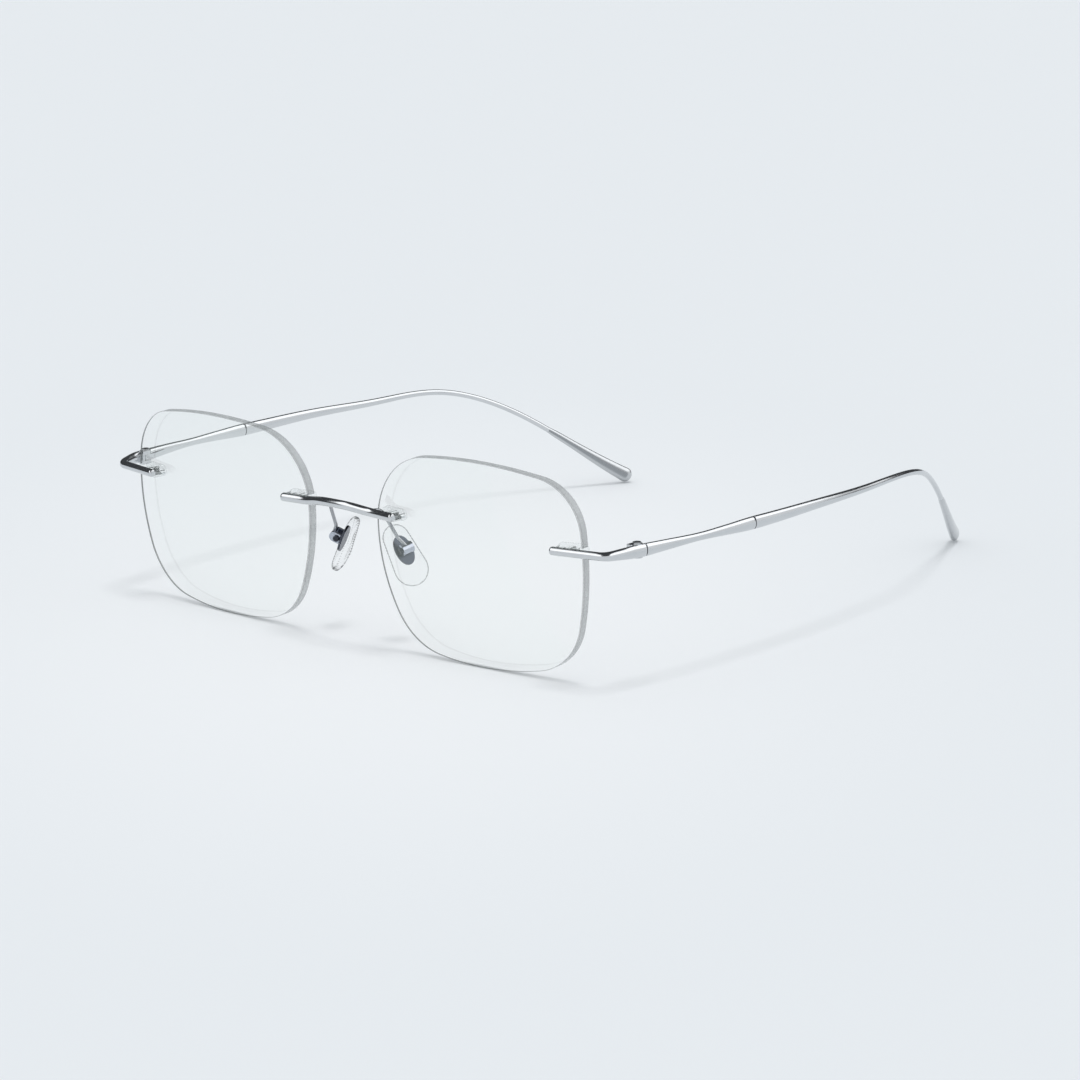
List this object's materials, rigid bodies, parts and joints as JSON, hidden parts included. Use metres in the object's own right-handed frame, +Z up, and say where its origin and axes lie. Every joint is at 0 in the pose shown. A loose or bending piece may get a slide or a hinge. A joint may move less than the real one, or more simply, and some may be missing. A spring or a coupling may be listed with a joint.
{
  "type": "eyeglasses",
  "caption": "Rimless prescription eyeglasses with rounded rectangular lenses, a rod bridge, folding wire temples with paddle tips, and rocking clear nose pads.",
  "frame": {"origin": "on the table under the middle of the overall box, temples open", "axes": "+X towards the wearer's left, -Y the way the wearer looks, +Z up; the lens edges and the temple tips stand on z = 0"},
  "size_m": [0.1462, 0.1453, 0.0426],
  "materials": {
    "polished_silver": "polished",
    "screw_steel": "satin",
    "pad_core_metal": "polished",
    "lens_resin": "polished",
    "clear_silicone": "gloss",
    "clear_plug": "gloss",
    "washer_nylon": "matte",
    "silver_lacquer": "gloss"
  },
  "bodies": {
    "front": {"bridge": "polished_silver", "bridge_pins": "polished_silver", "lens_left": "lens_resin", "lens_right": "lens_resin", "end_piece_left": "polished_silver", "end_piece_right": "polished_silver", "end_piece_pins_left": "polished_silver", "end_piece_pins_right": "polished_silver", "end_piece_plug_left": "clear_plug", "end_piece_plug_right": "clear_plug", "bridge_plug_left": "clear_plug", "bridge_plug_right": "clear_plug", "hinge_front_leaf_left": "polished_silver", "hinge_front_leaf_right": "polished_silver", "hinge_screw_left": "screw_steel", "hinge_screw_right": "screw_steel", "hinge_washers_left": "washer_nylon", "hinge_washers_right": "washer_nylon", "pad_arm_left": "polished_silver", "pad_arm_right": "polished_silver", "pad_box_left": "polished_silver", "pad_box_right": "polished_silver", "pad_screw_left": "screw_steel", "pad_screw_right": "screw_steel"},
    "temple_left": {"temple_left": "polished_silver", "temple_tip_left": "silver_lacquer", "hinge_rear_leaf_left": "polished_silver"},
    "pad_left": {"nose_pad_left": "clear_silicone", "pad_core_left": "pad_core_metal"},
    "temple_right": {"temple_right": "polished_silver", "temple_tip_right": "silver_lacquer", "hinge_rear_leaf_right": "polished_silver"},
    "pad_right": {"nose_pad_right": "clear_silicone", "pad_core_right": "pad_core_metal"}
  },
  "joints": [
    {"name": "temple_fold_left", "type": "hinge", "parent": "front", "child": "temple_left", "pos_m": [0.0694, -0.05905, 0.0275], "axis": [0, 0, 1], "range_deg": [0, 81]},
    {"name": "temple_fold_right", "type": "hinge", "parent": "front", "child": "temple_right", "pos_m": [-0.0694, -0.05905, 0.0275], "axis": [0, 0, -1], "range_deg": [0, 76]},
    {"name": "pad_rock_left", "type": "hinge", "parent": "front", "child": "pad_left", "pos_m": [0.00951, -0.06183, 0.01933], "axis": [0.2849, 0.9233, 0.2577], "range_deg": [-10, 10]},
    {"name": "pad_rock_right", "type": "hinge", "parent": "front", "child": "pad_right", "pos_m": [-0.00951, -0.06183, 0.01933], "axis": [-0.2849, 0.9233, 0.2577], "range_deg": [-10, 10]}
  ]
}
